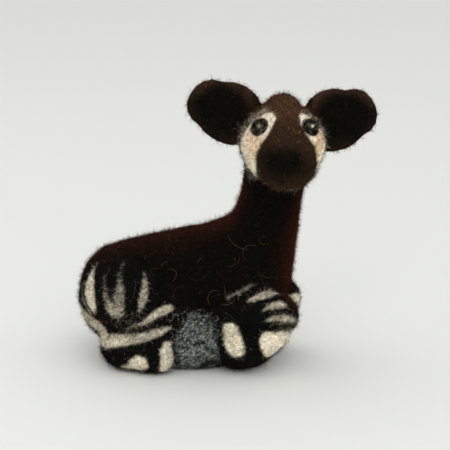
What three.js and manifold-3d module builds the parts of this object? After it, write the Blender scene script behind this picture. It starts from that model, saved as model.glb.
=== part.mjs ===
// A needle-felted wool figure of an okapi, lying down with its legs folded and its head turned to its right.
// Millimetres, +Z up. The figure faces +X, its right side is at -Y, and it lies on the plane Z = 0.
// Each lump of felt is a sphere drawn out along a row of oval sections. Where two lumps meet, one is
// hollowed to the other's surface with a fine gap between them, and what touches the ground is pressed flat.

import * as THREE from "three";
import { mergeVertices } from "three/addons/utils/BufferGeometryUtils.js";
import Module from "manifold-3d";

const wasm = await Module();
wasm.setup();

const vec = (x, y, z) => new THREE.Vector3(x, y, z);
const degrees = THREE.MathUtils.degToRad;

// Driving dimensions of the whole figure.
const FELT_GAP = 0.3; // between two lumps that touch
const RUMP_X = -36;
const TRUNK_HALF_WIDTH = 16;
const NECK_HALF_WIDTH = 8.2;
const HEAD_CENTRE = vec(29.9, -7, 71.3);
const HEAD_TURN = degrees(-79); // from straight ahead round to the figure's right
const SKULL_RADII = vec(12, 13.1, 12.4); // forward, sideways, up
const MUZZLE_RADIUS = 9;
const EYE_RADIUS = 2.4;
const EAR_REACH = 29; // from the middle of the head to the ear's tip
const EAR_HALF_WIDTH = 9.6;
const EAR_THICKNESS = 3.4;
const HAUNCH_RADII = vec(16.4, 15.5, 15);
const LEG_HALF_WIDTH = 6.5;
const FAR_FORELEG_BACK = 2; // the left foreleg is tucked in this much further than the right
const TAIL_RADIUS = 1.6;

// How finely the lumps are faceted.
const AROUND_TRUNK = 32;
const AROUND_LUMP = 22;
const AROUND_LEG = 18;
const AROUND_SMALL = 10;
const RINGS_PER_SPAN = 2;
const DOME_RINGS = 4;

// Wool colours of the lumps.
const WOOL = {
  chestnut: 0x2a1611,
  chocolate: 0x3a261c,
  cream: 0xd0c4ac,
  grey: 0x6b6c62,
  black: 0x151511,
};

// The same mesh with shared vertices merged, and without triangles that have no width.
function mergedOf(geometry) {
  const bare = new THREE.BufferGeometry();
  bare.setAttribute("position", geometry.getAttribute("position"));
  bare.setIndex(geometry.getIndex());
  const merged = mergeVertices(bare, 1e-4);
  const index = merged.index.array;
  const kept = [];
  for (let i = 0; i < index.length; i += 3) {
    const [p, q, r] = [index[i], index[i + 1], index[i + 2]];
    if (p !== q && q !== r && r !== p) kept.push(p, q, r);
  }
  merged.setIndex(kept);
  return merged;
}

// A closed mesh as a solid that can be cut and joined.
function solidOf(geometry) {
  const merged = mergedOf(geometry);
  const vertProperties = new Float32Array(merged.attributes.position.array);
  const triVerts = new Uint32Array(merged.index.array);
  return new wasm.Manifold(new wasm.Mesh({ numProp: 3, vertProperties, triVerts }));
}

// The largest closed body of a solid, as a geometry.
function geometryOf(solid) {
  const largest = solid.decompose().sort((a, b) => b.volume() - a.volume())[0];
  const mesh = largest.getMesh();
  const geometry = new THREE.BufferGeometry();
  geometry.setAttribute("position", new THREE.BufferAttribute(new Float32Array(mesh.vertProperties), 3));
  geometry.setIndex(new THREE.BufferAttribute(new Uint32Array(mesh.triVerts), 1));
  return geometry;
}

// A drawn-out sphere: its middle rings follow smooth curves through the stations, and its poles are domes.
// A station has a centre and two half axes of its oval section, up and side. The side axis points to the
// left of the way from the first station to the last. The domes stand out along the line of their end.
function drawnOut(stations, startDome, endDome, around = AROUND_LUMP) {
  const curves = ["centre", "up", "side"].map(
    (key) => new THREE.CatmullRomCurve3(stations.map((station) => station[key]), false, "centripetal"),
  );
  const spanRings = (stations.length - 1) * RINGS_PER_SPAN;
  const rows = 2 * DOME_RINGS + spanRings;
  const [first, second] = stations;
  const [beforeLast, last] = stations.slice(-2);
  const domeRing = (station, inner, dome, share) => {
    const angle = (share * Math.PI) / 2;
    const out = station.centre.clone().sub(inner.centre).setLength(dome * Math.cos(angle));
    return { ...station, centre: station.centre.clone().add(out), size: Math.sin(angle) };
  };
  const ringAt = (row) => {
    if (row < DOME_RINGS) return domeRing(first, second, startDome, row / DOME_RINGS);
    if (row > rows - DOME_RINGS) return domeRing(last, beforeLast, endDome, (rows - row) / DOME_RINGS);
    const [centre, up, side] = curves.map((curve) => curve.getPoint((row - DOME_RINGS) / spanRings));
    return { centre, up, side, size: 1 };
  };
  const geometry = new THREE.SphereGeometry(1, around, rows);
  const position = geometry.getAttribute("position");
  for (let row = 0; row <= rows; row++) {
    const { centre, up, side, size } = ringAt(row);
    for (let step = 0; step <= around; step++) {
      const turn = ((step % around) / around) * 2 * Math.PI;
      const point = centre.clone().addScaledVector(up, size * Math.cos(turn));
      point.addScaledVector(side, size * Math.sin(turn));
      position.setXYZ(row * (around + 1) + step, ...point);
    }
  }
  return mergedOf(geometry);
}

// A ball with three radii, its first axis laid along a given way.
function ball(centre, radii, way = vec(1, 0, 0), around = AROUND_LUMP) {
  const turn = new THREE.Quaternion().setFromUnitVectors(vec(1, 0, 0), way.clone().normalize());
  const geometry = new THREE.SphereGeometry(1, around, Math.round(around * 0.6));
  return mergedOf(geometry.applyMatrix4(new THREE.Matrix4().compose(centre, turn, radii)));
}

// The mesh with each vertex moved out along its normal.
function swollen(geometry, by = FELT_GAP) {
  const out = geometry.clone();
  out.computeVertexNormals();
  const { position, normal } = out.attributes;
  for (let i = 0; i < position.count; i++) {
    const point = vec().fromBufferAttribute(position, i);
    point.addScaledVector(vec().fromBufferAttribute(normal, i), by);
    position.setXYZ(i, ...point);
  }
  return out;
}

// One lump made of several that are pressed into each other.
const joined = (lumps) => geometryOf(lumps.map(solidOf).reduce((sum, solid) => sum.add(solid)));

// A lump with other shapes cut out of it.
const hollowed = (lump, cuts) => cuts.reduce((rest, cut) => rest.subtract(solidOf(cut)), solidOf(lump));

// A lump with its neighbours' room and what lies under the ground taken away.
const underGround = new THREE.BoxGeometry(300, 300, 100).translate(0, 0, -50);
const fitted = (lump, neighbours) =>
  geometryOf(hollowed(lump, [underGround, ...neighbours.map((other) => swollen(other))]));

// A leg piece through points, with half sizes up and sideways at each.
function limb(joints, startDome, endDome, around = AROUND_LEG) {
  const stations = joints.map(({ at, high, wide }, i) => {
    const from = joints[Math.max(i - 1, 0)].at;
    const to = joints[Math.min(i + 1, joints.length - 1)].at;
    const along = to.clone().sub(from).normalize();
    const side = vec(0, 0, 1).cross(along).normalize();
    const up = along.cross(side).setLength(high);
    return { centre: at, up, side: side.multiplyScalar(wide) };
  });
  return drawnOut(stations, startDome, endDome, around);
}

// Trunk: torso and neck in one sweep, from the top and bottom of its side profile, its half width, and how
// far it leans to the side.
function trunkShape() {
  const profile = [
    { top: [-24.3, 36.2], bottom: [-23, 8], half: 0.93 * TRUNK_HALF_WIDTH },
    { top: [-9, 40.5], bottom: [-9, 8], half: TRUNK_HALF_WIDTH },
    { top: [4, 43.5], bottom: [6, 8], half: TRUNK_HALF_WIDTH },
    { top: [12.5, 47.2], bottom: [19, 8], half: 0.95 * TRUNK_HALF_WIDTH },
    { top: [15.4, 52.5], bottom: [29.4, 17.5], half: 0.82 * TRUNK_HALF_WIDTH },
    { top: [16.9, 59], bottom: [33.3, 36], half: 0.66 * TRUNK_HALF_WIDTH },
    { top: [17.4, 64], bottom: [35.2, 52], half: NECK_HALF_WIDTH, sway: -1 },
    { top: [18.3, 71.5], bottom: [37.4, 63], half: NECK_HALF_WIDTH, sway: -4.5 },
  ];
  const stations = profile.map(({ top, bottom, half, sway = 0 }) => {
    const above = vec(top[0], sway, top[1]);
    const below = vec(bottom[0], sway, bottom[1]);
    const up = above.clone().sub(below).divideScalar(2);
    return { centre: below.add(up), up, side: vec(0, half, 0) };
  });
  const rumpDome = stations[0].centre.x - RUMP_X;
  return drawnOut(stations, rumpDome, 5, AROUND_TRUNK);
}

// Head, in its own frame: forward along the nose, to its left, and up.
const headFrame = new THREE.Matrix4().makeRotationZ(HEAD_TURN).setPosition(HEAD_CENTRE);
const onHead = (geometry) => geometry.applyMatrix4(headFrame);

// A skull with a raised strip of wool over the crown and forehead, and two full cheeks.
function skullShape() {
  const crown = drawnOut(
    [
      { centre: vec(-4, 0, 8.9), up: vec(1, 0, 6), side: vec(0, 6.2, 0) },
      { centre: vec(2, 0, 8.6), up: vec(-1, 0, 6), side: vec(0, 5.8, 0) },
      { centre: vec(8, 0, 2), up: vec(-3, 0, 4), side: vec(0, 4.6, 0) },
    ],
    3,
    3,
    AROUND_LEG,
  );
  const cheeks = [-1, 1].map((side) => ball(vec(1.5, side * 3.8, -4.4), vec(9.4, 7.6, 7.6)));
  return onHead(joined([ball(vec(0, 0, 0), SKULL_RADII), crown, ...cheeks]));
}

const muzzleShape = () =>
  onHead(
    drawnOut(
      [
        { centre: vec(6, 0.4, -2), up: vec(0, 0, 8.1), side: vec(0, 7.8, 0) },
        { centre: vec(11, 0.4, -2.6), up: vec(0, 0, 8.5), side: vec(0, 8.5, 0) },
        { centre: vec(14.5, 0.4, -2.9), up: vec(0, 0, 8.6), side: vec(0, MUZZLE_RADIUS, 0) },
      ],
      4,
      7,
    ),
  );

// Two shallow dents pressed into the end of the muzzle.
const nostrilDent = (side) => {
  const centre = vec(21, side * 3.3 - 0.7, -1);
  return onHead(ball(centre, vec(1.4, 1.6, 1.9), vec(1, side * 0.35, 0.1), AROUND_SMALL));
};

// Eyes: flat black balls set into the skull beside the crown, each with a light speck on it.
const eyeAt = (side) => vec(6.8, side * 7.6 + 0.3, 6.3);
const eyeWay = (side) => vec(0.66, side * 0.52, 0.48).normalize();
const eyeShape = (side) => {
  const radii = vec(0.8 * EYE_RADIUS, EYE_RADIUS, EYE_RADIUS);
  return onHead(ball(eyeAt(side), radii, eyeWay(side), AROUND_LEG));
};
const eyeSpeckShape = (side) => {
  const way = vec(0.93, side * 0.12, 0.25).normalize();
  const centre = eyeAt(side).addScaledVector(way, 0.8 * EYE_RADIUS);
  return onHead(ball(centre, vec(0.4, 0.6, 0.6), way, AROUND_SMALL));
};

// An ear: a round paddle that stands out sideways and up from the head, with a shallow cup in its front.
function earShape(side, { lift, halfWidth, drop }) {
  const root = vec(-4.2, side * 8.5, 5 - drop);
  const tipDome = 7;
  const slope = vec(0, side * Math.cos(lift), Math.sin(lift));
  const length = (EAR_REACH - tipDome - Math.abs(root.y)) / Math.cos(lift);
  const shares = [0.7, 0.95, 1.03, 0.98, 0.81];
  const stations = shares.map((share, i) => {
    const along = i / (shares.length - 1);
    const centre = root.clone().addScaledVector(slope, along * length);
    centre.x -= 1.2 * Math.sin(Math.PI * along);
    const up = vec(0, -side * slope.z, Math.cos(lift)).multiplyScalar(share * halfWidth);
    return { centre, up, side: vec((-side * EAR_THICKNESS) / 2, 0, 0) };
  });
  const paddle = drawnOut(stations, 2, tipDome);
  const middle = stations[3].centre.clone().lerp(stations[2].centre, 0.4);
  const cup = ball(middle.add(vec(4.6, 0, 0)), vec(4, 10, 8.5));
  return onHead(geometryOf(hollowed(paddle, [cup])));
}

// Legs and underside of the body, for the side -1 (right) or 1 (left).
const bellyShape = () => ball(vec(-2, 0, 11), vec(25, 18.5, 18));
const haunchShape = (side) => ball(vec(-18, side * 7, 20.3), HAUNCH_RADII);
const hindFootShape = (side) =>
  limb(
    [
      { at: vec(-18.6, side * 15.5, 7.2), high: 7.4, wide: LEG_HALF_WIDTH },
      { at: vec(-13, side * 17, 6.4), high: 6.6, wide: LEG_HALF_WIDTH },
      { at: vec(-6, side * 17.8, 5.8), high: 6, wide: 0.9 * LEG_HALF_WIDTH },
    ],
    7.4,
    5,
  );
const tuck = (side) => (side > 0 ? FAR_FORELEG_BACK : 0);
const forearmShape = (side) =>
  limb(
    [
      { at: vec(14 - tuck(side), side * 11.5, 17.5), high: 7, wide: LEG_HALF_WIDTH },
      { at: vec(21 - tuck(side), side * 12.2, 20), high: 7.6, wide: 1.1 * LEG_HALF_WIDTH },
      { at: vec(28.5 - tuck(side), side * 11, 18.4 - 0.4 * tuck(side)), high: 7.4, wide: 1.1 * LEG_HALF_WIDTH },
    ],
    6,
    7.6,
  );
const cannonShape = (side) =>
  limb(
    [
      { at: vec(26 - tuck(side), side * 11.2, 12.4), high: 6.8, wide: 1.1 * LEG_HALF_WIDTH },
      { at: vec(20.5 - tuck(side), side * 11.8, 8.5), high: 7.6, wide: 1.05 * LEG_HALF_WIDTH },
      { at: vec(15.5 - tuck(side), side * 12, 7.2), high: 6.8, wide: 0.95 * LEG_HALF_WIDTH },
    ],
    8,
    5.5,
  );

// A thin tail with a fuller tip, laid down over the left side of the rump.
const tailShape = () =>
  limb(
    [
      { at: vec(-32.6, 7, 27.5), high: TAIL_RADIUS, wide: TAIL_RADIUS },
      { at: vec(-33.4, 11.5, 22), high: TAIL_RADIUS, wide: TAIL_RADIUS },
      { at: vec(-31.5, 16, 16), high: TAIL_RADIUS, wide: TAIL_RADIUS },
      { at: vec(-28.5, 19.5, 10.5), high: 1.4 * TAIL_RADIUS, wide: 1.4 * TAIL_RADIUS },
    ],
    2,
    3.5,
    AROUND_SMALL,
  );

// The neck begins at a slanted plane from the withers down to the front of the chest.
const NECK_ROOT = vec(25, 0, 46);
const NECK_ROOT_TILT = degrees(35);
function abovePlane(offset) {
  const box = new THREE.BoxGeometry(200, 200, 100).translate(0, 0, 50 + offset);
  return solidOf(box.rotateY(NECK_ROOT_TILT).translate(...NECK_ROOT));
}

const figure = new THREE.Group();
function addNode(name, geometry, colour) {
  const material = new THREE.MeshStandardMaterial({ color: colour, roughness: 0.95, metalness: 0 });
  const mesh = new THREE.Mesh(geometry, material);
  mesh.name = name;
  figure.add(mesh);
}

const trunk = trunkShape();
const skull = skullShape();
const muzzle = muzzleShape();
const belly = bellyShape();
const sides = { right: -1, left: 1 };
const EARS = {
  right: { lift: degrees(28), halfWidth: EAR_HALF_WIDTH, drop: 0.5 },
  left: { lift: degrees(22), halfWidth: 1.02 * EAR_HALF_WIDTH, drop: 1.8 },
};

const torso = solidOf(trunk).subtract(abovePlane(-FELT_GAP / 2));
const neck = solidOf(trunk).intersect(abovePlane(FELT_GAP / 2));
addNode("torso", geometryOf(torso), WOOL.chestnut);
addNode("neck", fitted(geometryOf(neck), [skull, muzzle]), WOOL.chestnut);
addNode("belly", fitted(belly, [trunk]), WOOL.grey);
addNode("head", fitted(skull, [muzzle, eyeShape(-1), eyeShape(1)]), WOOL.cream);
const dents = [-1, 1].map(nostrilDent);
addNode("muzzle", geometryOf(hollowed(muzzle, dents)), WOOL.chocolate);

for (const [name, side] of Object.entries(sides)) {
  const haunch = haunchShape(side);
  const forearm = forearmShape(side);
  addNode(`eye_${name}`, fitted(eyeShape(side), [eyeSpeckShape(side)]), WOOL.black);
  addNode(`eye_speck_${name}`, eyeSpeckShape(side), WOOL.cream);
  addNode(`ear_${name}`, fitted(earShape(side, EARS[name]), [skull, trunk]), WOOL.chocolate);
  addNode(`haunch_${name}`, fitted(haunch, [trunk, belly]), WOOL.black);
  addNode(`hind_foot_${name}`, fitted(hindFootShape(side), [trunk, belly, haunch]), WOOL.cream);
  addNode(`forearm_${name}`, fitted(forearm, [trunk, belly]), WOOL.black);
  addNode(`cannon_${name}`, fitted(cannonShape(side), [trunk, belly, forearm]), WOOL.cream);
}
addNode("tail", fitted(tailShape(), [trunk, haunchShape(1), haunchShape(-1)]), WOOL.black);

export default figure;
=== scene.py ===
import math
from types import SimpleNamespace
import bmesh
import bpy
import numpy as np
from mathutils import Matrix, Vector, noise
from mathutils.bvhtree import BVHTree


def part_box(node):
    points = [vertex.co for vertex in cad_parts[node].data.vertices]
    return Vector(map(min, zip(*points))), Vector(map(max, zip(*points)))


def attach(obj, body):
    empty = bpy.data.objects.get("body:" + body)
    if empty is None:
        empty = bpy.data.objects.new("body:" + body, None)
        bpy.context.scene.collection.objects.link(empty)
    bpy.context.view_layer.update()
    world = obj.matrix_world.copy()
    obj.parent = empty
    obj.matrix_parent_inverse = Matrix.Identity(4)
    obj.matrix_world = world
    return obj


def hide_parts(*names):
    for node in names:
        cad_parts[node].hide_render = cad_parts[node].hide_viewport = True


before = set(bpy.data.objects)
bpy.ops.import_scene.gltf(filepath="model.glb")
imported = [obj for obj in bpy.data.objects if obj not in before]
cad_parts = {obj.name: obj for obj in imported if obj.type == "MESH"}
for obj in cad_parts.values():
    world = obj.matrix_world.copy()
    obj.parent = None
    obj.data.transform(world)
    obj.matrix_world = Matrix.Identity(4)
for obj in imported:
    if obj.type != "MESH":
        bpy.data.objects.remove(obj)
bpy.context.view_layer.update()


# The body: one piece of felt, from rump to ears. Loose wool is needled lump by lump onto a core until it is
# firm, and each limb is felted on, so that the lumps run into each other in soft creases with no seam.
# Felt has no gloss and shows fine, tangled fibres.
MM = 0.001  # sizes and places on the figure are in millimetres, and Blender's are in metres
SIDES = ("right", "left")
FLESH = ["torso", "neck", "belly", "head", "muzzle", "tail"]
FLESH += [f"{part}_{side}" for part in ("ear", "haunch", "hind_foot", "forearm", "cannon") for side in SIDES]
WELD = 0.001  # points of a lump closer together than this are one
CLOSING = 0.2  # how far each lump is swelled, so that the gaps between lumps close
PILE = 0.3  # how deep the firm felt lies under the tips of the short loose wool
FELT_GRAIN = 0.5  # size of the felt's own facets
NEEDLING_ROUNDS = 45
NEEDLING_PULLS = (0.5, -0.52)  # towards the neighbours, and back out again
DENTS = ((0.16, 5, 0), (0.07, 1.6, 3), (0.05, 0.7, 5))  # depth, width and seed of the felt's unevenness
UNDERSIDE = 0.12  # height of the felt's lowest points over the table


def lump_of(node):
    """The lump that a node of the frame stands for, with its doubled points welded."""
    lump = bmesh.new()
    lump.from_mesh(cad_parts[node].data)
    bmesh.ops.remove_doubles(lump, verts=lump.verts, dist=WELD * MM)
    return lump


def placed(name, data):
    """A new object that stands in the scene."""
    made = bpy.data.objects.new(name, data)
    bpy.context.scene.collection.objects.link(made)
    return made


def felt_mesh(grain):
    """The lumps swelled and felted into one mesh with facets of size grain."""
    lumps = bmesh.new()
    for name in FLESH:
        lump = lump_of(name)
        lump.normal_update()
        for corner in lump.verts:
            corner.co += corner.normal * CLOSING * MM
        swelled = bpy.data.meshes.new("swelled")
        lump.to_mesh(swelled)
        lump.free()
        lumps.from_mesh(swelled)
        bpy.data.meshes.remove(swelled)
    mesh = bpy.data.meshes.new("lumps")
    lumps.to_mesh(mesh)
    lumps.free()
    rough = placed("lumps", mesh)
    felting = rough.modifiers.new("felting", "REMESH")
    felting.mode = "VOXEL"
    felting.voxel_size = grain * MM
    felted = bpy.data.meshes.new_from_object(rough.evaluated_get(bpy.context.evaluated_depsgraph_get()))
    bpy.data.objects.remove(rough)
    return felted


def array_of(values, field, width, kind=np.float64):
    """One field of a mesh's points, edges or faces as rows of an array."""
    flat = np.empty(len(values) * width, dtype=kind)
    values.foreach_get(field, flat)
    return flat.reshape(-1, width)


def needled(points, edges):
    """Points smoothed over their neighbours without losing volume, so that creases and facets turn soft."""
    count = np.bincount(edges.ravel(), minlength=len(points))[:, None]
    for _ in range(NEEDLING_ROUNDS):
        for pull in NEEDLING_PULLS:
            around = np.empty_like(points)
            for axis in range(3):
                there = np.bincount(edges[:, 0], points[edges[:, 1], axis], len(points))
                back = np.bincount(edges[:, 1], points[edges[:, 0], axis], len(points))
                around[:, axis] = there + back
            points = points + pull * (around / count - points)
    return points


def tangle(points, size, seed):
    """Soft noise from about -1 to 1 with lumps of a size in millimetres."""
    shift = Vector((seed, 1.7 * seed, 0.3 * seed))
    return np.array([noise.noise(Vector(p) / size + shift) for p in points])


skin = placed("felt_body", felt_mesh(FELT_GRAIN))
edges = array_of(skin.data.edges, "vertices", 2, np.int64)
points = needled(array_of(skin.data.vertices, "co", 3) / MM, edges)
skin.data.vertices.foreach_set("co", (points * MM).ravel())
skin.data.update()
outward = array_of(skin.data.vertex_normals, "vector", 3)
unevenness = sum(depth * tangle(points, width, seed) for depth, width, seed in DENTS)
points += outward * (unevenness - CLOSING - PILE)[:, None]
points[:, 2] = np.maximum(points[:, 2], UNDERSIDE)
skin.data.vertices.foreach_set("co", (points * MM).ravel())
skin.data.update()
for face in skin.data.polygons:
    face.use_smooth = True


# The back, neck and sides: merino dyed such a dark chestnut that it looks black from the side. Along the back
# and at the edges of the neck the same chestnut is painted redder: painted light from above and painted rim
# light. Each colour is laid on in thin wisps and needled in, so that its borders fray into the next.
def linear(colour):
    """A hex colour as three linear values."""
    shares = [int(colour[i : i + 2], 16) / 255 for i in (0, 2, 4)]
    return np.array([s / 12.92 if s <= 0.04045 else ((s + 0.055) / 1.055) ** 2.4 for s in shares])


CHESTNUT = linear("0c0a07")
# painted light: the redder chestnut of the back and of the neck's edges, for light on top and glowing at the
# rim
RIDGE_LIT = linear("24130b")
NECK_RIM_LIT = linear("31150d")
NECK_FOOT, NECK_RISE = 38, 50  # heights between which the redness of the neck sets in
CHEST_X = 16  # in front of this it sets in lower


def step(low, high, values):
    """0 at low, 1 at high, and a smooth change between them."""
    share = np.clip((values - low) / (high - low), 0, 1)
    return share * share * (3 - 2 * share)


def over(colours, colour, cover):
    """Colours with another laid over them."""
    return colours + np.clip(cover, 0, 1)[:, None] * (colour - colours)


def spots_at(points, normals):
    """Spots on the wool, with how far borders fray there, and how unevenly wool is laid and blended there."""
    x, y, z = points.T
    spots = SimpleNamespace(points=points, normals=normals, x=x, y=y, z=z)
    spots.fray = 0.26 * tangle(points, 1.3, 2) + 0.24 * tangle(points, 0.5, 4)
    spots.wide_fray = 0.9 * tangle(points, 4, 6) + spots.fray
    spots.mottle = tangle(points, 0.55, 12) + 0.5 * tangle(points, 1.4, 13)
    spots.speckle = step(-0.1, 0.5, tangle(points, 0.34, 8) + 0.3 * tangle(points, 2.5, 9))
    return spots


def back_and_neck(spots):
    """Chestnut on the sides, and painted light where the felt turns away from them: a redder chestnut."""
    flatness = np.abs(spots.normals[:, 1]) + 0.08 * spots.wide_fray
    # painted light: redder where the felt faces up or turns edge-on, for light on top and glowing at the rim
    turned = 0.6 * step(0.55, 0.2, flatness) + 0.4 * step(0.92, 0.45, flatness)
    neck = step(NECK_FOOT, NECK_RISE, spots.z + 1.1 * np.maximum(spots.x - CHEST_X, 0))
    return over(CHESTNUT, over(RIDGE_LIT, NECK_RIM_LIT, neck), turned)


# The haunches, legs and underside: black wool laid over the chestnut, up to an arched border on each haunch
# and to the top of each knee.
BLACK = linear("0b0c0b")
HAUNCH_X, HAUNCH_Z = -17.5, 18.5  # the middle of the black on a haunch
HAUNCH_FORE, HAUNCH_HIND, HAUNCH_UP = 14, 19, 17.5  # how far it reaches from there
KNEE_X, KNEE_TOP = 23, 28  # where the black over a knee is highest
LEG_X, LEG_Y = 9, 8  # the folded foreleg starts here, and lies outside this
UNDERSIDE_TOP = 10  # the underside is black up to here


def haunches_and_legs(spots, colours):
    """Black laid on the haunches, the folded legs and the underside."""
    length = np.where(spots.x > HAUNCH_X, HAUNCH_FORE, HAUNCH_HIND)
    haunch = 1 - np.hypot((spots.x - HAUNCH_X) / length, (spots.z - HAUNCH_Z) / HAUNCH_UP)
    haunch = step(-0.05, 0.15, haunch + 0.04 * spots.wide_fray)
    leg = step(0, 3, spots.x - LEG_X + spots.wide_fray)
    leg *= step(0, 2.5, np.abs(spots.y) - LEG_Y + spots.wide_fray)
    leg *= step(-1, 1.5, KNEE_TOP - 0.05 * (spots.x - KNEE_X) ** 2 - spots.z)
    underside = step(-1.5, 1.5, UNDERSIDE_TOP - spots.z + spots.wide_fray)
    return over(colours, BLACK, np.maximum(np.maximum(haunch, leg), underside))


# The belly, between haunch and foreleg: black and white wool, only half carded together, so that it is
# speckled. It is laid on each side in a patch with an arched top.
BLEND_LIGHT = linear("a2a5a1")
BLEND_DARK = linear("1b1c19")
BELLY_HIND, BELLY_FORE = -0.4, 12.4  # the borders at table height, which lean back as they rise
BELLY_X, BELLY_TOP = 5.5, 19  # the top of the arch
BELLY_IN, BELLY_OUT = 8, 12  # the blend sets in between these, from the middle of the body


def belly_blend(spots, colours):
    """The speckled blend laid on the belly."""
    hind = step(-1.2, 1.2, spots.x - BELLY_HIND + 0.1 * spots.z + spots.wide_fray)
    fore = step(-1.2, 1.2, BELLY_FORE - 0.12 * spots.z - spots.x + spots.wide_fray)
    arch = step(-1.8, 1.8, BELLY_TOP - 0.16 * (spots.x - BELLY_X) ** 2 - spots.z + spots.wide_fray)
    hem = step(-0.8, 0.8, spots.z - 0.8 - 3.2 * step(4, 8, spots.x) + spots.fray)
    patch = hind * fore * (arch * hem) * step(BELLY_IN, BELLY_OUT, np.abs(spots.y))
    return over(colours, over(BLEND_DARK, BLEND_LIGHT, spots.speckle), patch)


# The cream wisps: bands of cream wool on the haunches, knees, shins and hind feet, thin over the black in
# some places and thick in others. The left side is the mirror image of the right, but moved a little, as
# handwork never repeats itself.
CREAM = linear("efe3ca")
RUSSET = linear("6e3d28")
RED = linear("8c2a1e")
WISPS_TOP = 48  # there are none above this height
BARE_STRIP = 2  # nor this near the middle of the body
LEFT_LEG_BACK = 2.0  # how much further back the wisps of the left foreleg lie
LEFT_SWAY = (0.9, 0.8)  # how far the left side's wisps stray, along the body and up

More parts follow.
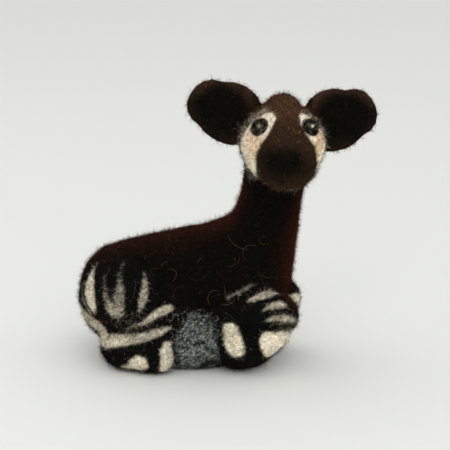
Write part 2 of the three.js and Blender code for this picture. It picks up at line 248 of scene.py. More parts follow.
# How thickly each is laid, and points along it with the half width there, as x, y, z, half width. All are
# given for the right side and laid on both, but for the far knee's, which is laid on the left side alone.
WISPS = {
    "rump edge": (0.55, [
        (-32.7, -10.8, 25.3, 0.28), (-31.8, -14.3, 23.5, 0.31), (-30.7, -16.5, 21.4, 0.31),
        (-29.2, -18.1, 19.7, 0.35), (-27.8, -19.1, 18.5, 0.39),
    ]),
    "rump crescent": (0.82, [
        (-28.4, -8.8, 31.9, 0.28), (-28.7, -11.4, 30.7, 0.85), (-29.0, -13.7, 29.1, 1.5),
        (-29.0, -16.0, 27.4, 2.05), (-28.5, -17.7, 25.1, 2.25), (-27.9, -19.0, 23.1, 2.1),
        (-26.9, -19.8, 21.0, 1.5), (-26.3, -20.1, 19.4, 0.7),
    ]),
    "under the rump": (0.75, [
        (-32.3, -9.5, 17.4, 2.0), (-30.9, -14.0, 16.3, 2.7), (-28.6, -17.2, 15.1, 2.8),
        (-26.2, -19.0, 14.2, 2.6), (-24.9, -19.4, 13.2, 2.3), (-24.1, -18.2, 11.8, 1.56),
    ]),
    "hook, foot": (0.4, [
        (-21.6, -21.6, 23.2, 0.8), (-20.8, -22.1, 21.6, 1.5), (-19.3, -22.3, 20.2, 1.8),
        (-18.2, -22.4, 20.4, 1.9),
    ]),
    "hook, hind branch": (0.25, [
        (-23.6, -17.0, 30.3, 0.2), (-23.1, -19.1, 28.2, 0.4), (-22.5, -20.7, 25.9, 0.7),
        (-21.9, -21.4, 24.0, 1.0), (-20.9, -22.1, 22.0, 1.46), (-19.4, -22.3, 20.2, 1.72),
    ]),
    "hook, tip of the fore branch": (0.12, [
        (-18.3, -12.6, 34.1, 0.3), (-18.6, -15.4, 32.7, 0.4), (-18.6, -17.4, 31.1, 0.6),
        (-18.2, -19.2, 29.3, 0.95),
    ]),
    "hook, fore branch": (0.34, [
        (-18.2, -19.2, 29.3, 0.6), (-17.9, -20.8, 27.0, 1.45), (-17.9, -21.8, 24.5, 1.64),
        (-17.9, -22.3, 22.2, 1.76), (-18.0, -22.5, 20.2, 1.84),
    ]),
    "haunch bracket": (0.5, [
        (-11.2, -14.7, 31.5, 0.2), (-10.8, -16.4, 30.0, 0.55), (-10.5, -18.1, 28.1, 0.95),
        (-10.4, -19.2, 26.1, 1.25), (-10.6, -20.1, 24.2, 1.25), (-11.0, -20.8, 22.6, 1.0),
        (-11.6, -21.1, 20.8, 0.4),
    ]),
    "haunch streak": (0.8, [
        (-3.1, -15.5, 20.5, 0.8), (-4.8, -15.9, 19.8, 1.25), (-6.7, -18.0, 19.0, 1.45),
        (-8.6, -19.3, 17.8, 1.2), (-10.4, -20.0, 16.4, 0.7), (-12.8, -20.9, 15.9, 0.25),
        (-15.7, -21.0, 14.4, 0.1),
    ]),
    "long band": (0.75, [
        (-3.0, -18.0, 14.7, 0.27), (-5.3, -18.0, 13.8, 1.0), (-8.0, -17.9, 12.3, 1.4),
        (-10.7, -20.0, 11.9, 1.54), (-14.0, -21.0, 11.5, 1.66), (-17.4, -21.0, 11.0, 1.78),
        (-20.6, -20.5, 10.4, 2.1), (-23.1, -19.2, 9.8, 2.1), (-25.3, -17.0, 9.8, 2.0),
    ]),
    "hind hoof patch": (0.88, [
        (-17.6, -20.6, 1.6, 0.7), (-14.5, -22.4, 2.5, 1.5), (-12.9, -22.9, 3.3, 2.4),
        (-11.6, -23.2, 4.1, 2.8),
    ]),
    "hind toe patch": (0.85, [
        (-3.0, -20.1, 9.8, 1.6), (-2.7, -21.6, 8.1, 2.4), (-2.4, -21.7, 5.8, 2.75), (-2.8, -21.4, 2.6, 2.5),
    ]),
    "knee wisp": (0.3, [
        (14.8, -15.1, 24.5, 0.5), (17.2, -14.8, 25.6, 0.55), (19.5, -14.3, 27.0, 0.55),
        (21.4, -13.8, 28.2, 0.5), (23.6, -13.0, 28.6, 0.4),
    ]),
    "knee top": (0.7, [
        (21.3, -17.6, 24.7, 0.3), (22.8, -16.9, 25.1, 0.7), (24.6, -15.5, 25.8, 1.15),
        (26.5, -13.9, 26.2, 1.5), (27.8, -11.9, 26.2, 1.4), (28.6, -11.1, 26.0, 1.0),
    ]),
    "knee middle": (0.65, [
        (26.0, -18.2, 22.0, 0.2), (27.7, -17.4, 22.8, 0.6), (29.3, -16.3, 23.4, 1.1),
        (31.1, -15.3, 23.5, 1.2), (32.5, -14.7, 23.1, 0.6),
    ]),
    "knee low": (0.65, [
        (27.6, -18.3, 18.9, 0.4), (29.4, -18.0, 19.5, 0.75), (31.8, -17.1, 19.5, 0.98),
        (33.8, -15.3, 18.9, 0.9), (35.2, -13.1, 17.7, 0.5),
    ]),
    "shin front, hind part": (1.0, [
        (26.9, -18.2, 13.7, 1.4), (27.7, -17.9, 12.2, 2.8), (28.6, -17.2, 10.2, 3.2),
        (28.8, -16.4, 8.2, 2.8),
    ]),
    "shin front, fore part": (1.0, [
        (28.1, -17.7, 12.2, 2.6), (31.6, -15.9, 11.8, 3.4), (33.8, -12.6, 11.8, 3.1),
    ]),
    "shin back": (0.93, [
        (15.9, -17.7, 14.9, 2.5), (15.9, -16.4, 12.6, 2.8), (16.9, -17.6, 10.6, 2.85),
        (17.8, -18.4, 9.1, 2.6),
    ]),
    "far knee": (0.9, [
        (32.6, -5.6, 19.0, 1.3), (33.4, -7.2, 18.8, 1.5), (34.3, -9.4, 17.9, 1.7), (34.2, -9.6, 16.0, 1.6),
    ]),
}
RED_FIBRE = [(32.3, -14.3, 11.8, 0.22), (32.8, -13.3, 11.0, 0.2)]  # one stray red fibre on the fore shin
RUMP_X, RUMP_Z = -29, 16  # the middle of a few russet specks
SPECKS_FORE, SPECKS_TOP = -24, 17.5  # they lie behind and below these


def laid(points, wisp, fray):
    """How much of a wisp covers each point, from 0 to 1, with frayed borders."""
    best = np.full(len(points), -np.inf)
    for start, end in zip(wisp, wisp[1:]):
        a, b = np.array(start[:3]), np.array(end[:3])
        share = np.clip((points - a) @ (b - a) / ((b - a) @ (b - a)), 0, 1)
        away = np.linalg.norm(points - a - share[:, None] * (b - a), axis=1)
        best = np.maximum(best, start[3] + share * (end[3] - start[3]) - away)
    return step(-0.5, 0.5, best + fray)


def cream_wisps(spots, colours):
    """The wisps of both sides, the russet specks on the rump and the red fibre."""
    x, y, z = spots.x, spots.y, spots.z
    left = y > 0
    mirrored = np.column_stack([x, -np.abs(y), z])
    mirrored[left, 0] += LEFT_LEG_BACK * step(0, 8, x[left]) + LEFT_SWAY[0] * np.sin(z[left] / 5)
    mirrored[left, 2] += LEFT_SWAY[1] * np.sin(x[left] / 4 + 1)
    body = (z < WISPS_TOP) & (np.abs(y) > BARE_STRIP)
    for name, (thickness, wisp) in WISPS.items():
        side = body & (left | (name != "far knee"))
        cover = laid(mirrored[side], wisp, spots.fray[side])
        cover *= np.clip(thickness + 0.6 * spots.mottle[side], 0, 1)
        colours[side] = over(colours[side], (0.45 + 0.55 * thickness) * CREAM, cover)
    specks = step(0.3, 0.6, spots.mottle) * step(-3, 0, SPECKS_FORE - x) * step(-1.5, 1, SPECKS_TOP - z)
    specks *= step(10, 14, np.abs(y)) * step(11, 9, np.hypot(x - RUMP_X, z - RUMP_Z))
    colours = over(colours, RUSSET, 0.8 * specks)
    return over(colours, RED, laid(spots.points, RED_FIBRE, 0.3 * spots.fray))


# The head: a brown blaze from the crown down over the muzzle, between two cream cheeks with a little sand and
# peach in them. Black wool is laid round the eyes and on the throat, and nearly black wool on the end of the
# muzzle.
SAND = linear("e6c495")
PEACH = linear("da9c7a")
BROWN = linear("37261a")
MUZZLE_DARK = linear("0d0d08")
HEAD_CENTRE = np.array([29.9, -7, 71.3])
HEAD_REACH = 24  # nothing farther from its middle counts as the head
HEAD_TURN = math.radians(-79)  # the head looks almost straight out to the right
FORWARD = np.array([math.cos(HEAD_TURN), math.sin(HEAD_TURN), 0])
LEFTWARD = np.array([-math.sin(HEAD_TURN), math.cos(HEAD_TURN), 0])
EYE_CENTRES = [np.array(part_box(f"eye_{side}")).mean(axis=0) / MM for side in SIDES]
EYE_RING = (3.1, 2.5)  # the black round an eye fades out between these, from the eye's middle

# On the face, heights are counted from the middle of the head, and sides towards the head's own left.
BLAZE_MIDDLE = ([-3, 1], [0.4, 0.95])  # heights, and where the middle of the blaze lies
BLAZE = ([-12, -2.6, 0.9, 2.7, 5.1, 7.2, 8.8], [8.4, 8.6, 8.0, 6.8, 5.6, 4.3, 3.5])  # heights and half widths
BROW_SIDE, BROW_TOP = 5.8, 10.1  # the highest point of a cheek's cream, over the eye
CHEEK_FOOT = -9.6  # the lower border of the cheeks' cream
MUZZLE_START, MUZZLE_RADIUS = 10.6, 10.1  # the brown of the muzzle starts here, and is this wide
NOSE_HALF_WIDTH, NOSE_HALF_HEIGHT = 10.8, 6.8  # of the nearly black end of the muzzle
NOSTRILS, NOSTRIL_HEIGHT = (-4.4, 2.2), -1.1  # their sides, and their height
LIP, THROAT = -10.6, -9.3  # heights under which they start


def find_face(spots):
    """Adds where the spots lie from the middle of the head, and which of the face's fields they are in."""
    near = spots.points - HEAD_CENTRE
    spots.forward, spots.side, spots.up = near @ FORWARD, near @ LEFTWARD, near[:, 2]
    spots.apart = np.linalg.norm(near, axis=1)
    spots.head = spots.apart < HEAD_REACH
    spots.beside = np.abs(spots.side - np.interp(spots.up, *BLAZE_MIDDLE))
    spots.brow = BROW_TOP - 0.14 * (spots.beside - BROW_SIDE) ** 2 - spots.up
    behind = 1.6 + 0.35 * np.maximum(spots.up - 1, 0)
    jaw = CHEEK_FOOT + 1.2 * np.maximum(np.abs(spots.side) - 8, 0)
    spots.face = step(-0.7, 0.7, spots.forward - behind + 0.8 * spots.fray)
    spots.face *= step(-0.5, 0.5, spots.brow + 0.8 * spots.fray)
    spots.face *= step(-0.6, 0.6, spots.up - jaw + spots.fray)
    across = np.hypot(spots.side - 0.4, spots.up + 2.8)
    spots.muzzle = step(-0.6, 0.6, spots.forward - MUZZLE_START + spots.fray)
    spots.muzzle *= step(-0.3, 0.3, MUZZLE_RADIUS - across)
    blaze = np.interp(spots.up, *BLAZE)
    blaze -= 0.5 * step(0.5, 2.5, spots.up) * step(8.5, 7, spots.up) * (spots.side > 0)
    cheek = step(-0.35, 0.35, spots.beside - blaze + 0.7 * spots.fray)
    spots.cream = spots.head * spots.face * cheek * (1 - spots.muzzle)


def blaze_and_cheeks(spots, colours):
    """Brown on the head, the cheeks' cream over it, and a thin cream fringe outside the brows."""
    forward, up, beside, head = spots.forward, spots.up, spots.beside, spots.head
    brown = np.maximum(step(-2, 2, up + 6 + spots.wide_fray) * step(-6, 3, forward), step(7, 9.5, forward))
    colours = over(colours, BROWN, head * brown)
    sand = np.exp(-(((beside - 8.6) / 2.6) ** 2) - ((up + 0.8) / 3.6) ** 2)
    peach = np.exp(-(((beside - 10.2) / 1.9) ** 2) - ((up - 2.8) / 2.8) ** 2)
    warm = over(over(CREAM, SAND, 0.7 * sand), PEACH, (0.45 + 0.4 * spots.mottle) * peach)
    # painted light: the cheek towards the head's left is made a fifth lighter, as it faces the light
    warm *= (1 + 0.2 * step(6, 9, spots.side))[:, None]
    thin = 0.7 * step(0, 0.7, spots.mottle) * step(-1.5, -6, up)
    colours = over(colours, warm, spots.cream * np.clip(1.05 + 0.5 * spots.mottle - thin, 0, 1))
    fringe = step(-2.6, -0.6, spots.brow) * step(2, 0.5, spots.brow)
    fringe *= step(5, 7.5, beside) * step(-1.5, 1.5, forward) * (1 - spots.face)
    colours = over(colours, CREAM, 0.6 * spots.speckle * head * fringe)
    # painted light: the top of the head, outside the cream, is lightened up to 1.7 times where it catches the
    # light
    crown = 0.7 * step(6, 11, up) * head * (1 - spots.cream)
    return colours * (1 + crown)[:, None]


def muzzle_and_throat(spots, colours):
    """The dark end of the muzzle, the nostrils, the pale lip, the black throat and the jaw's mixed edge."""
    forward, side, up, head = spots.forward, spots.side, spots.up, spots.head
    nose = np.hypot((side + 1.0) / NOSE_HALF_WIDTH, (up + 2.6) / NOSE_HALF_HEIGHT) + 0.15 * spots.wide_fray
    colours = over(colours, MUZZLE_DARK, head * step(13, 16, forward) * step(1.35, 0.2, nose))
    for nostril in NOSTRILS:
        hole = np.hypot((side - nostril) / 1.9, (up - NOSTRIL_HEIGHT) / 2.1)
        colours = over(colours, BLACK, 0.8 * head * (forward > 15) * step(1.6, 0.5, hole))
    lip = step(-0.5, 0.5, LIP - up + spots.fray) * step(8, 10, forward) * step(19, 17, forward)
    colours = over(colours, CREAM, 0.7 * spots.speckle * head * lip * step(-1, 2, side))
    throat = step(-1, 1.5, THROAT - up + 0.8 * spots.wide_fray) * step(17, 13, spots.apart)
    colours = over(colours, BLACK, throat * (1 - spots.muzzle))
    jaw_edge = step(1.2, 0.7, np.hypot(side + 10, up + 8.6) / 3 + 0.2 * spots.wide_fray)
    mixed = over(BLACK, CREAM, 0.16 * spots.speckle)
    return over(colours, mixed, head * jaw_edge * step(-6, -3, forward) * (1 - spots.cream))


def eye_rings(spots, colours):
    """Black round each eye, a little to the outside of it."""
    for outside, centre in zip((-1, 1), EYE_CENTRES):
        ring = np.linalg.norm(spots.points - centre - 0.6 * outside * LEFTWARD, axis=1) + 1.5 * spots.fray
        colours = over(colours, BLACK, step(*EYE_RING, ring))
    return colours


# The ears: two round paddles with a shallow cup, nearly black, with browner wool at the edge and behind. The
# edge's brown is strongest on top, where it is painted light from above. Each is felted flat, pressed hollow
# and needled to the side of the head at its root.
EAR_DARK = linear("0d0d09")
EAR_BROWN_AND_TOP_LIGHT = linear("3e2b21")
EARS = {-1: (math.radians(28), 4.5), 1: (math.radians(22), 3.2)}  # right and left: lift, height of the root
EAR_ROOT = 8.5  # how far to the side the root is
EAR_MIDDLE = 10.5  # from the root to the middle of the ear
EAR_HALF_LENGTH, EAR_HALF_WIDTH = 11.7, 9.8


def ears(spots, colours):
    """Near black on the ears, with brown at the edge and behind, strongest on top as painted light."""
    for outside, (lift, root_height) in EARS.items():
        out, height = spots.side * outside - EAR_ROOT, spots.up - root_height
        along = (out * math.cos(lift) + height * math.sin(lift) - EAR_MIDDLE) / EAR_HALF_LENGTH
        above = (height * math.cos(lift) - out * math.sin(lift)) / EAR_HALF_WIDTH
        from_middle = np.hypot(along, above)
        ear = (from_middle < 1.35) * (out > 0.5) * (spots.apart > 13 + 0.5 * spots.fray)
        # painted light: the rim's brown rises from 0.3 to full on the top edge, where the light from above
        # falls
        rim = step(0.58, 1.05, from_middle + 0.1 * spots.wide_fray) * (0.3 + 0.7 * step(-0.3, 0.5, above))
        behind = step(-0.2, 0.4, -(spots.normals @ FORWARD))
        colours = over(colours, over(EAR_DARK, EAR_BROWN_AND_TOP_LIGHT, np.maximum(rim, 0.45 * behind)), ear)
    return colours


# The finish of the body: firmly needled merino, matt, with a faint sheen where the fibres catch the light at
# the edge of the form. Their tangle is drawn at 0.35 mm, coarser than the real 0.03 mm, so that it shows.
CLUMP = 0.9  # size of the small clumps that the shade of the wool changes with


def wool_at(points, normals):
    """The colour of the wool at points of the felt, in linear values."""
    spots = spots_at(points, normals)
    find_face(spots)
    colours = back_and_neck(spots)
    for marking in (
        haunches_and_legs, belly_blend, cream_wisps, blaze_and_cheeks, muzzle_and_throat, eye_rings, ears
    ):
        colours = marking(spots, colours)
    return colours * (1 + 0.38 * np.clip(tangle(points, CLUMP, 17), -1, 1.4))[:, None]


def paint(mesh, colours):
    """Stores wool colours on a mesh's points."""
    layer = mesh.color_attributes.new("wool", "FLOAT_COLOR", "POINT")
    opaque = np.column_stack([colours, np.ones(len(colours))])
    layer.data.foreach_set("color", opaque.astype(np.float32).ravel())


def node_to(material, kind, inputs=None, outlet=0, **settings):
    """A shader node's outlet. Its inputs are given by name, each as a value or another node's outlet."""
    tree = material.node_tree
    made = tree.nodes.new(kind)
    for key, value in settings.items():
        setattr(made, key, value)
    for key, value in (inputs or {}).items():
        if isinstance(value, bpy.types.NodeSocket):
            tree.links.new(value, made.inputs[key])
        else:
            made.inputs[key].default_value = value
    return made.outputs[outlet] if made.outputs else None


def bare_material(name):
    """A new material with no nodes."""
    made = bpy.data.materials.new(name)
    made.use_nodes = True
    made.node_tree.nodes.clear()
    return made


def wool_material(name, tangle_mm, depth_mm):
    """Dyed wool with a tangle of fibres of a width and a depth, bent by up to 1.2 mm by slower noise."""
    wool = bare_material(name)
    place = node_to(wool, "ShaderNodeTexCoord", outlet="Object")
    warp = node_to(wool, "ShaderNodeTexNoise", {"Vector": place, "Scale": 700.0, "Detail": 2.0}, "Color")
    bend = (1.2 * MM,) * 3
    bent = node_to(wool, "ShaderNodeVectorMath", {0: warp, 1: bend, 2: place}, operation="MULTIPLY_ADD")
    fibres = node_to(
        wool,
        "ShaderNodeTexNoise",
        {"Vector": bent, "Scale": 1 / (tangle_mm * MM), "Detail": 3.0, "Roughness": 0.65},
    )
    dye = node_to(wool, "ShaderNodeAttribute", outlet="Color", attribute_name="wool")
    shade = node_to(
        wool,
        "ShaderNodeMapRange",
        {"Value": fibres, "From Min": 0.3, "From Max": 0.7, "To Min": 0.55, "To Max": 1.35},
    )
    tint = node_to(wool, "ShaderNodeVectorMath", {0: dye, "Scale": shade}, operation="SCALE")
    relief = node_to(wool, "ShaderNodeBump", {"Height": fibres, "Strength": 0.5, "Distance": depth_mm * MM})
    surface = node_to(
        wool,
        "ShaderNodeBsdfPrincipled",
        {
            "Base Color": tint,
            "Roughness": 0.95,
            "IOR": 1.54,
            "Specular IOR Level": 0.02,
            "Sheen Weight": 0.02,
            "Sheen Roughness": 0.5,
            "Sheen Tint": (0.6, 0.4, 0.28, 1.0),
            "Normal": relief,
        },
    )
    node_to(wool, "ShaderNodeOutputMaterial", {"Surface": surface})
    return wool


paint(skin.data, wool_at(points, outward))
skin.data.materials.clear()
skin.data.materials.append(wool_material("merino_felt_needled", 0.35, 0.15))
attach(skin, "root")
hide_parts(*FLESH)


# The eyes: two small balls of black wool, rolled hard and needled into the head, each with a speck of pale
# wool for its glint. They are smoother and tighter than the rest, so their tangle is finer and shallower.
EYE_FELT = wool_material("merino_rolled_tight", 0.25, 0.05)
OLIVE = linear("5c5a49")
OLIVE_FADE = (1.35, 0.8)  # the olive round a glint fades out between these, from the glint's middle
GLINTS = {"right": linear("9c9178"), "left": linear("d9d6c8")}
for side in SIDES:
    glint = np.array(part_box(f"eye_speck_{side}")).mean(axis=0) / MM
    for part, slot in (("eye", "black_wool"), ("eye_speck", "cream_wool")):
        lump = lump_of(f"{part}_{side}")
        mesh = bpy.data.meshes.new(f"felt_{part}_{side}")
        lump.to_mesh(mesh)
        lump.free()
        for face in mesh.polygons:
            face.use_smooth = True
        if part == "eye":
            from_glint = np.linalg.norm(array_of(mesh.vertices, "co", 3) / MM - glint, axis=1)
            paint(mesh, over(BLACK, OLIVE, step(*OLIVE_FADE, from_glint)))
        else:
            paint(mesh, np.tile(GLINTS[side], (len(mesh.vertices), 1)))
        mesh.materials.append(EYE_FELT)
        eye = placed(f"felt_{part}_{side}", mesh)
        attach(eye, "root")
        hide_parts(f"{part}_{side}")


# The loose wool: ends and loops of fibre that the needle left standing out of the felt, in every direction.
# Each is a closed strand of three sides that tapers to a point. Real fibres are 0.03 mm thick, and these are
# a little over twice that, so that they show.
rng = np.random.default_rng(11)
STRANDS = 102000
STRANDS_IN_PIECE = 19000
STRAND_SIDES = 3
STRAND_THICK = 0.039  # from the middle of a strand to its corners, at the root
TAPER = 0.6  # share of its thickness that a strand loses before its point
ROOT_DEPTH = 0.08  # how deep the roots are sunk
WANDER = 0.6  # how freely strands turn to one side or the other
BODY_CURVE = 34  # strands that lie along the body follow a curve with this diameter
STRAND_FLOOR, FLOOR_RISE = 0.06, 0.05  # least height of a strand's root, and what its point adds to it
ROOT_SHADE, TIP_LIGHT = 0.75, 1.9  # the tips stand in the light and the roots don't
BRIGHTEST = 0.85  # no strand throws back more of the light than this
UNDER_Z, UNDER_NORMAL = 0.5, -0.3  # no strand is rooted where the figure lies on the table
EYE_CLEAR = 2.3  # nor this near the middle of an eye

# A coarser copy of the felt is unwrapped once, and gives each strand its place in the map for baking.
GUIDE_GRAIN = 1.4
UNWRAP_ANGLE, UNWRAP_MARGIN = math.radians(66), 0.004  # where it is cut, and the gap between its patches
UV_SPREAD = 0.0015  # how far a strand's corners are spread about its place in the map

guide = felt_mesh(GUIDE_GRAIN)
guide_object = placed("unwrap_guide", guide)
bpy.context.view_layer.objects.active = guide_object
guide_object.select_set(True)
bpy.ops.object.mode_set(mode="EDIT")
bpy.ops.mesh.select_all(action="SELECT")
bpy.ops.mesh.quads_convert_to_tris()
bpy.ops.uv.smart_project(angle_limit=UNWRAP_ANGLE, island_margin=UNWRAP_MARGIN)
bpy.ops.object.mode_set(mode="OBJECT")
guide_points = array_of(guide.vertices, "co", 3) / MM
guide_faces = array_of(guide.polygons, "vertices", 3, np.int64)
guide_uv = array_of(guide.uv_layers.active.data, "uv", 2).reshape(-1, 3, 2)
guide_tree = BVHTree.FromPolygons(guide_points.tolist(), guide_faces.tolist())
bpy.data.objects.remove(guide_object)


def roots_on(count):
    """Points spread evenly over the felt, with its normals there, leaving out the eyes and the underside."""
    skin.data.calc_loop_triangles()
    corners = array_of(skin.data.loop_triangles, "vertices", 3, np.int64)
    a, b, c = (points[corners[:, i]] for i in range(3))
    area = np.linalg.norm(np.cross(b - a, c - a), axis=1)
    face = rng.choice(len(corners), count, p=area / area.sum())
    u, v = rng.random(count), rng.random(count)
    flip = u + v > 1
    u[flip], v[flip] = 1 - u[flip], 1 - v[flip]
    weights = np.column_stack([1 - u - v, u, v])
    roots = np.einsum("ij,ijk->ik", weights, points[corners[face]])
    normals = np.einsum("ij,ijk->ik", weights, outward[corners[face]])
    normals /= np.linalg.norm(normals, axis=1)[:, None]
    keep = (roots[:, 2] > UNDER_Z) | (normals[:, 2] > UNDER_NORMAL)
    for centre in EYE_CENTRES:
        keep &= np.linalg.norm(roots - centre, axis=1) > EYE_CLEAR
    return roots[keep], normals[keep]


def uv_at(roots):
    """Where each root lies on the unwrap of the guide."""
    places = np.empty((len(roots), 2))
    for i, root in enumerate(roots):
        nearest, _, face, _ = guide_tree.find_nearest(Vector(root))
        a, b, c = guide_points[guide_faces[face]]
        whole = np.linalg.norm(np.cross(b - a, c - a))
        spot = np.array(nearest)
        shares = [np.linalg.norm(np.cross(q - spot, r - spot)) / whole for q, r in ((b, c), (c, a), (a, b))]
        places[i] = np.array(shares) @ guide_uv[face]
    return places


def unit(vectors):
    return vectors / np.linalg.norm(vectors, axis=1)[:, None]


def strand_faces(spans):
    """A strand's triangles: one closes its root, pairs run up its spans, and the last meet in its point."""
    point = STRAND_SIDES * spans
    faces = [(2, 1, 0)]
    for ring in range(spans - 1):
        for k in range(STRAND_SIDES):
            p = STRAND_SIDES * ring + k
            q = STRAND_SIDES * ring + (k + 1) % STRAND_SIDES
            faces += [(p, q, q + STRAND_SIDES), (p, q + STRAND_SIDES, p + STRAND_SIDES)]
    last = point - STRAND_SIDES
    return faces + [(last + k, last + (k + 1) % STRAND_SIDES, point) for k in range(STRAND_SIDES)]


def strands(name, roots, normals, length, lean, turn, thick, colours, spans=2):
    """One piece of loose wool: from each root a closed, tapered strand of three sides, bent in an arc."""
    count = len(roots)
    sideways = unit(np.cross(normals, rng.normal(size=(count, 3))))
    way = unit(normals * np.cos(lean)[:, None] + sideways * np.sin(lean)[:, None])
    hinge = unit(np.cross(way, np.cross(normals + WANDER * rng.normal(size=(count, 3)), way)))
    bend = np.cross(hinge, way) * rng.choice([-1.0, 1.0], count)[:, None]
    shares = np.arange(spans) / spans
    corner_angles = 2 * math.pi * np.arange(STRAND_SIDES) / STRAND_SIDES

    def arc(share):
        """The middle of each strand at a share of its length, and the way to the inside of its arc there."""
        angle = (turn * share)[:, None]
        reach = (length / turn)[:, None] * (np.sin(angle) * way + (1 - np.cos(angle)) * bend)
        along = np.einsum("ij,ij->i", reach, sideways)
        sag = (along**2 / BODY_CURVE)[:, None] * normals
        return roots + reach - sag - ROOT_DEPTH * normals, np.cos(angle) * bend - np.sin(angle) * way

    rings = []
    for share in shares:
        centre, inward = arc(share)
        size = (thick * (1 - TAPER * share))[:, None]
        for angle in corner_angles:
            rings.append(centre + size * (math.cos(angle) * hinge + math.sin(angle) * inward))
    rings.append(arc(1.0)[0])
    corners = np.stack(rings, axis=1)
    per = corners.shape[1]
    corners[:, :, 2] = np.maximum(corners[:, :, 2], STRAND_FLOOR + FLOOR_RISE * np.arange(per) / per)

    triangles = np.arange(count)[:, None, None] * per + np.array(strand_faces(spans))[None]
    triangles = triangles.reshape(-1, 3)
    mesh = bpy.data.meshes.new(name)
    mesh.vertices.add(count * per)
    mesh.vertices.foreach_set("co", (corners.reshape(-1, 3) * MM).ravel())
    mesh.loops.add(triangles.size)
    mesh.loops.foreach_set("vertex_index", triangles.ravel())
    mesh.polygons.add(len(triangles))
    mesh.polygons.foreach_set("loop_start", np.arange(0, triangles.size, 3))
    mesh.polygons.foreach_set("loop_total", np.full(len(triangles), 3))
    mesh.polygons.foreach_set("use_smooth", np.ones(len(triangles), dtype=bool))
    mesh.update(calc_edges=True)

    light = np.append(np.repeat(ROOT_SHADE + shares * (TIP_LIGHT - ROOT_SHADE), STRAND_SIDES), TIP_LIGHT)
    paint(mesh, np.minimum(colours[:, None] * light[None, :, None], BRIGHTEST).reshape(-1, 3))
    spread = UV_SPREAD * np.append(np.repeat(1 - shares, STRAND_SIDES), 0.0)
    turned = np.append(np.tile(corner_angles, spans), 0.0)
    fan = np.column_stack([spread * np.cos(turned), spread * np.sin(turned)])
    uv = (uv_at(roots)[:, None] + fan[None]).reshape(-1, 2)
    mesh.uv_layers.new(name="OFBake").data.foreach_set("uv", np.clip(uv[triangles.ravel()], 0, 1).ravel())
    mesh.materials.append(skin.data.materials[0])
    piece = placed(name, mesh)
    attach(piece, "root")


# The short ends of the loose wool, all over the figure, each rooted in the felt. The needle drags them a
# little over the borders. They are made in slices from rump to chest, and then those of the head.
HEAD_FOOT, NECK_TOP = 55, 60  # heights of the lower end of the head, and of the upper end of the neck
DRAGS, DRAG_SHARES = [0.25, 0.7, 1.5], [0.45, 0.4, 0.15]  # how far strands are dragged, and shares of them
LENGTHS, LENGTH_SHARES = [0.9, 1.6, 2.6], [0.42, 0.42, 0.16]
SHORTER_HEAD, SHORTER_CREAM = 0.9, 0.65  # the wool of the head and the cream wool are shorter
SHADE_SPREAD = 0.55  # how much single strands differ in shade
# Partly painted light: a single fibre is redder than the mass, and the glow of light through it is painted
# too.
RUST_AND_GLOW = np.array([1.5, 1.05, 1.0])  # single chestnut fibres are redder than the mass of them
FADED, FADED_SHARE = linear("8a7460"), 0.02  # a few fibres took the dye badly
STRAY_DARK, STRAY_SHARE = linear("2a2620"), 0.1  # and a few dark ones got into the cream
LIGHT_WOOL = 0.25  # linear value over which wool is cream
UPRIGHT_SHARE = 0.3  # of the strands, the others lean over

roots, normals = roots_on(STRANDS)
order = np.lexsort((roots[:, 0], roots[:, 2] > HEAD_FOOT))
roots, normals = roots[order], normals[order]
count = len(roots)
drag = rng.normal(size=(count, 3)) * rng.choice(DRAGS, count, p=DRAG_SHARES)[:, None]
dye = wool_at(roots + drag, normals)
# the dark chestnut strands get their own redder colour and a painted glow of light shining through them
reddish = (dye[:, 0] > 3 * dye[:, 2]) & (dye[:, 0] < 0.05) & (roots[:, 2] < NECK_TOP)
dye[reddish] *= RUST_AND_GLOW
dye *= rng.lognormal(0.0, SHADE_SPREAD, (count, 1))
faded = rng.random(count) < FADED_SHARE
dye[faded] = 0.75 * dye[faded] + 0.25 * FADED
length = rng.choice(LENGTHS, count, p=LENGTH_SHARES) * rng.uniform(0.7, 1.3, count)
light = dye.max(axis=1) > LIGHT_WOOL
length *= np.where(roots[:, 2] > HEAD_FOOT, SHORTER_HEAD, 1.0) * np.where(light, SHORTER_CREAM, 1.0)
dye[light & (rng.random(count) < STRAY_SHARE)] = STRAY_DARK
upright = rng.random(count) < UPRIGHT_SHARE
lean = np.radians(np.where(upright, rng.uniform(0, 40, count), rng.uniform(35, 82, count)))
turn = rng.uniform(0.3, 2.8, count)
thick = STRAND_THICK * rng.uniform(0.7, 1.2, count)
for number, start in enumerate(range(0, count, STRANDS_IN_PIECE), 1):
    part = slice(start, start + STRANDS_IN_PIECE)
    shape = (length[part], lean[part], turn[part], thick[part])
    strands(f"loose_wool_{number}", roots[part], normals[part], *shape, dye[part])


# The halo: a thin haze of longer fibres all over the figure, that worked loose in handling. It shows at the
# edges, where the fibres stand against the light.
HALO_STRANDS = 3000
HALO_LIGHT = 1.4  # the light shines through them


def curly(name, roots, normals, dye, reach, leans, turns, thick, spans=8):
    """A piece of long strands, with ranges for their length, lean in degrees and turn."""
    count = len(roots)
    lean = np.radians(rng.uniform(*leans, count))
    length = rng.uniform(*reach, count)
    turn = rng.uniform(*turns, count)
    strands(name, roots, normals, length, lean, turn, np.full(count, thick), dye, spans)


roots, normals = roots_on(HALO_STRANDS)
dye = wool_at(roots, normals) * HALO_LIGHT
name = "stray_wool_halo"
curly(name, roots, normals, dye, reach=(1.0, 3.0), leans=(10, 75), turns=(0.3, 2.5), thick=0.03, spans=5)


# The coils: small crimped loops of merino that lie on the felt and give it its grain. The belly has its own.
# On the head they differ more in shade, so that it looks mottled.
COILS_IN_PIECE = 7000
HEAD_SHADES, BODY_SHADE = [0.3, 1.0, 2.4, 3.6], 1.35
COIL_SPREAD = 0.7  # how much single coils differ in shade
COIL_DARK, COIL_DARK_SHARE = linear("2f2a22"), 0.2  # dark coils in the cream

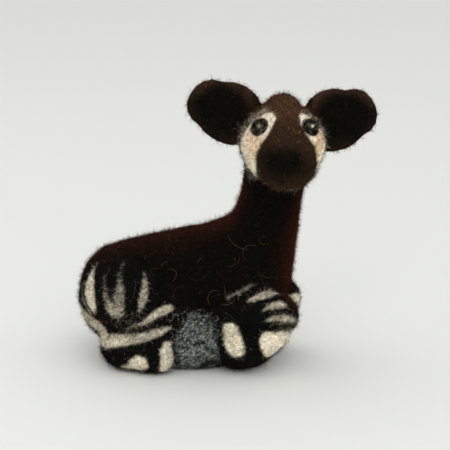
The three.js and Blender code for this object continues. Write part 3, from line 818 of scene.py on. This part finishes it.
for number in (1, 2):
    roots, normals = roots_on(COILS_IN_PIECE)
    off_belly = (np.abs(roots[:, 0] - 5) > 7) | (roots[:, 2] > 19)
    roots, normals = roots[off_belly], normals[off_belly]
    shade = np.where(roots[:, 2:] > HEAD_FOOT, rng.choice(HEAD_SHADES, (len(roots), 1)), BODY_SHADE)
    dye = wool_at(roots, normals) * shade * rng.lognormal(0, COIL_SPREAD, (len(roots), 1))
    dye[(dye.max(axis=1) > LIGHT_WOOL) & (rng.random(len(roots)) < COIL_DARK_SHARE)] = COIL_DARK
    name = f"loose_wool_coils_{number}"
    curly(name, roots, normals, dye, reach=(1.0, 2.6), leans=(66, 86), turns=(1.0, 4.0), thick=0.062, spans=4)


# The stray fibres of the flanks: long, pale and curly ones that the needle pulled out of the wool. They lie
# almost flat on the flank and haunch.
FLANK_ROOTS = 550  # tried all over, of which those on the flanks are kept
STRAY_PALE = linear("7d684c")

roots, normals = roots_on(FLANK_ROOTS)
on_flank = (np.abs(roots[:, 1]) > 11) & (roots[:, 2] > 12) & (roots[:, 2] < 50)
roots, normals = roots[on_flank], normals[on_flank]
dye = STRAY_PALE * rng.uniform(0.2, 1.0, (len(roots), 1))
name = "stray_wool_flank"
curly(name, roots, normals, dye, reach=(3.5, 10.0), leans=(74, 88), turns=(0.8, 4.0), thick=0.034)


# The curls of the belly: the blend there is curlier than the rest of the wool, and its black, grey and white
# fibres can be told apart.
BELLY_ROOTS = 30000  # tried all over, of which those on the belly are kept
BLEND_SHADES, BLEND_SHARES = [0.0, 0.35, 1.0], [0.35, 0.35, 0.3]  # from dark to light

roots, normals = roots_on(BELLY_ROOTS)
on_belly = (np.abs(roots[:, 1]) > 9) & (roots[:, 0] > -3) & (roots[:, 0] < 12.5) & (roots[:, 2] < 20)
roots, normals = roots[on_belly], normals[on_belly]
dye = over(BLEND_DARK, BLEND_LIGHT, rng.choice(BLEND_SHADES, len(roots), p=BLEND_SHARES))
name = "loose_wool_belly"
curly(name, roots, normals, dye, reach=(1.6, 3.2), leans=(62, 86), turns=(2.0, 4.5), thick=0.042)


# The dragged ends: pale ends of the cream wool, drawn out over the black and over the roots of the ears where
# the needle crossed the border.
DRAGGED_ROOTS = 50000  # tried all over, of which those near a border are kept
DRAGGED_CREAM = linear("8f8873")
THINNING = 0.4  # how soon they thin out away from the middle of a border
BORDERS = [((31.5, -15.5, 17.5), 5.0), ((-14, -20, 14.5), 7.0), ((-28, -16, 17), 5.0)]  # centres and radii
BORDERS += [(HEAD_CENTRE + outside * 11.5 * LEFTWARD + (0, 0, 2.5), 5.5) for outside in (-1, 1)]
BORDERS += [(HEAD_CENTRE - 9 * LEFTWARD - (0, 0, 9), 3.5)]
BORDERS += [(HEAD_CENTRE + 11 * FORWARD + 3 * LEFTWARD - (0, 0, 10), 3.5)]

roots, normals = roots_on(DRAGGED_ROOTS)
near_border = np.zeros(len(roots), dtype=bool)
for centre, radius in BORDERS:
    apart = np.linalg.norm(roots - np.array(centre), axis=1)
    near_border |= apart < radius * rng.random(len(roots)) ** THINNING
roots, normals = roots[near_border], normals[near_border]
dye = DRAGGED_CREAM * rng.uniform(0.25, 1.3, (len(roots), 1))
name = "loose_wool_dragged"
curly(name, roots, normals, dye, reach=(1.2, 3.2), leans=(58, 86), turns=(1.5, 4.5), thick=0.034, spans=5)


# The fluff of the eyes: short ends on the front of each ball, black but for a few pale ones, so that it looks
# like wool and not like glass. The very front, with the glint, is left clear.
FLUFF = 1300  # ends tried on each eye, of which those on its front are kept
FLUFF_RADIUS = 2.25  # how far its roots are from the middle of the eye
FLUFF_PALE = linear("b3a68a")
PALE_SHADES, PALE_SHARES = [0.0, 0.15, 0.7], [0.74, 0.16, 0.1]

away = []
for centre in EYE_CENTRES:
    way = unit(rng.normal(size=(FLUFF, 3)))
    away.append(way[(way @ FORWARD > 0.1) & (way @ FORWARD < 0.93)])
roots = np.vstack([centre + FLUFF_RADIUS * way for centre, way in zip(EYE_CENTRES, away)])
away = np.vstack(away)
dye = over(BLACK, FLUFF_PALE, rng.choice(PALE_SHADES, len(roots), p=PALE_SHARES))
name = "loose_wool_eyes"
curly(name, roots, away, dye, reach=(0.7, 1.8), leans=(50, 84), turns=(0.8, 3.0), thick=0.06, spans=5)


# Not part of the figure: a plain table top of pale, matt painted board, which shows a soft shadow and no
# gloss. Soft light comes from all round and from two wide lamps, one above and one before the figure.
# Sizes and places are in metres here.
TABLE_HALF = 6.0  # so wide that its edges stay out of the picture
ROOM_LIGHT = 0.96  # strength of the light from all round
# Name, watts and place of each lamp.
LAMPS = (("lamp_above", 0.7, (-0.35, 0.1, 0.75)), ("lamp_before", 3.0, (0.15, -0.75, 0.34)))
LAMP_WIDTH = 0.8
LIT = Vector((0.01, 0, 0.04))  # where the lamps point

board = bare_material("painted_board_matt")
pale_paint = (*linear("e3e4e1"), 1)
surface = node_to(board, "ShaderNodeBsdfPrincipled", {"Base Color": pale_paint, "Roughness": 0.8})
node_to(board, "ShaderNodeOutputMaterial", {"Surface": surface})
table_mesh = bpy.data.meshes.new("table_top")
rim = [(x * TABLE_HALF, y * TABLE_HALF, 0) for x, y in ((-1, -1), (1, -1), (1, 1), (-1, 1))]
table_mesh.from_pydata(rim, [], [(0, 1, 2, 3)])
table_mesh.materials.append(board)
table = placed("table_top", table_mesh)

room = bpy.data.worlds.new("pale_room")
room.use_nodes = True
room.node_tree.nodes["Background"].inputs["Color"].default_value = (*linear("f6f6f3"), 1)
room.node_tree.nodes["Background"].inputs["Strength"].default_value = ROOM_LIGHT
bpy.context.scene.world = room

for name, energy, place in LAMPS:
    lamp = bpy.data.lights.new(name, "AREA")
    lamp.shape = "DISK"
    lamp.size = LAMP_WIDTH
    lamp.energy = energy
    lamp_object = placed(name, lamp)
    lamp_object.location = place
    lamp_object.rotation_euler = (LIT - Vector(place)).to_track_quat("-Z", "Y").to_euler()
bpy.context.scene.view_settings.view_transform = "Standard"


# The camera: a little above the figure and slightly towards its head, 0.42 m away, with the long lens that
# gives the picture its frame.
AZIMUTH, ELEVATION = math.radians(10), math.radians(14)
DISTANCE, LENS = 0.42, 107.5
AIM = Vector((0.0111, 0, 0.0435))
level = math.cos(ELEVATION)
towards = Vector((math.sin(AZIMUTH) * level, -math.cos(AZIMUTH) * level, math.sin(ELEVATION)))
camera = placed("camera", bpy.data.cameras.new("camera"))
camera.data.lens = LENS
camera.data.clip_start = 0.01
camera.location = AIM + DISTANCE * towards
camera.rotation_euler = (-towards).to_track_quat("-Z", "Y").to_euler()
bpy.context.scene.camera = camera
